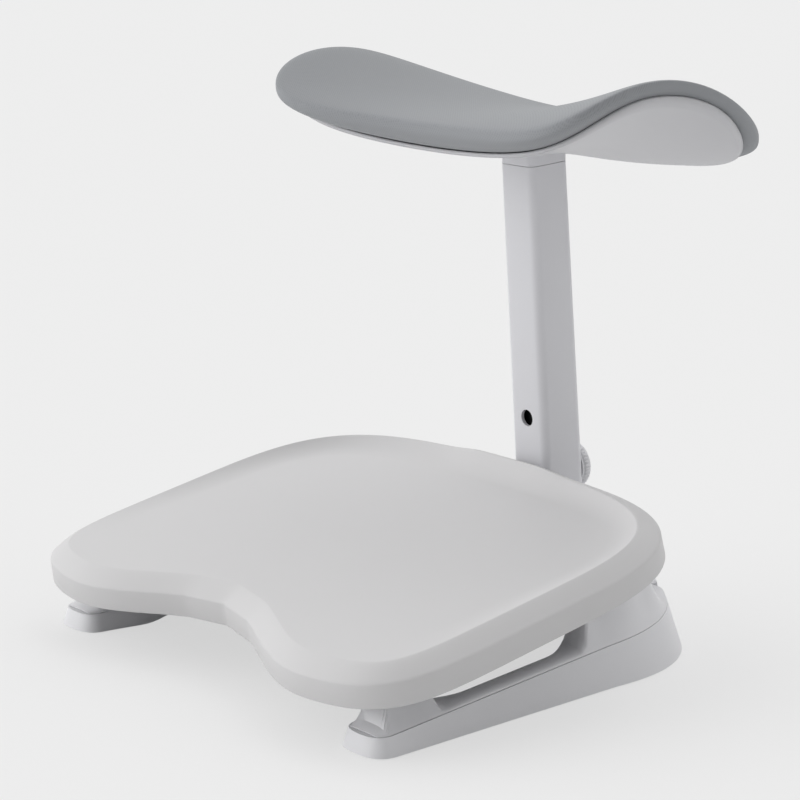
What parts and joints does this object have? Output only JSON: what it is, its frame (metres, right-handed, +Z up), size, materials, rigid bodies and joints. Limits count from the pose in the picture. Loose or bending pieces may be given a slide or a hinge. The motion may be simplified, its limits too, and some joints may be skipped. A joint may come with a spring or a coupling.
{
  "type": "two-level footrest",
  "caption": "Tilted, dished foot deck with a notched front on a U-shaped wedge base, and a saddle-shaped padded leg rest on a height-adjustable post.",
  "frame": {"origin": "floor, under the middle of the bounding box", "axes": "+Z up, the user sits on the -Y side, X across"},
  "size_m": [0.462, 0.4672, 0.4411],
  "materials": {
    "deck_plastic": "satin, fine texture",
    "shell_plastic": "satin moulded",
    "guide_plastic": "plain moulded",
    "fabric": "fine knit",
    "foam": null,
    "rubber": "matt",
    "black_steel": "black coated steel",
    "brass": "turned",
    "zinc": "zinc plated"
  },
  "bodies": {
    "base": {"deck_top": "deck_plastic", "base_frame": "shell_plastic", "base_cover_left": "shell_plastic", "base_cover_right": "shell_plastic", "rear_housing": "shell_plastic", "deck_underpan": "guide_plastic", "base_plate": "guide_plastic", "mast_guide": "guide_plastic", "foot_pad_front_left": "rubber", "foot_pad_front_right": "rubber", "foot_pad_rear_left": "rubber", "foot_pad_rear_right": "rubber", "mast_socket": "black_steel", "mast_tube": "black_steel", "mast_bolt": "zinc", "mast_nut": "zinc", "socket_screw_1": "zinc", "socket_screw_2": "zinc", "socket_screw_3": "zinc", "socket_screw_4": "zinc", "deck_screw_front_left": "zinc", "deck_screw_front_right": "zinc", "deck_screw_rear_left": "zinc", "deck_screw_rear_right": "zinc"},
    "post": {"post_sleeve": "shell_plastic", "sleeve_guide": "guide_plastic", "lock_insert": "brass", "pad_bracket": "shell_plastic", "pad_shell": "shell_plastic", "pad_foam": "foam", "pad_cover": "fabric", "pad_screw_1": "zinc", "pad_screw_2": "zinc", "pad_screw_3": "zinc", "pad_screw_4": "zinc"},
    "lock_carrier": {"lock_tip": "guide_plastic"},
    "lock_knob": {"lock_knob": "shell_plastic", "lock_screw": "zinc"}
  },
  "joints": [
    {"name": "post_slide", "type": "slide", "parent": "base", "child": "post", "axis": [0, -0.0785, 0.9969], "range_m": [0, 0.08]},
    {"name": "lock_travel", "type": "slide", "parent": "post", "child": "lock_carrier", "axis": [0, 0.9969, 0.0785], "range_m": [0, 0.004]},
    {"name": "knob_turn", "type": "hinge", "parent": "lock_carrier", "child": "lock_knob", "pos_m": [0, 0.12346, 0.112], "axis": [0, 0.9969, 0.0785], "range_deg": [0, 720]}
  ],
  "couplings": [
    {"joint": "lock_travel", "follows": "knob_turn", "m_per_rad": 0.00031831}
  ]
}
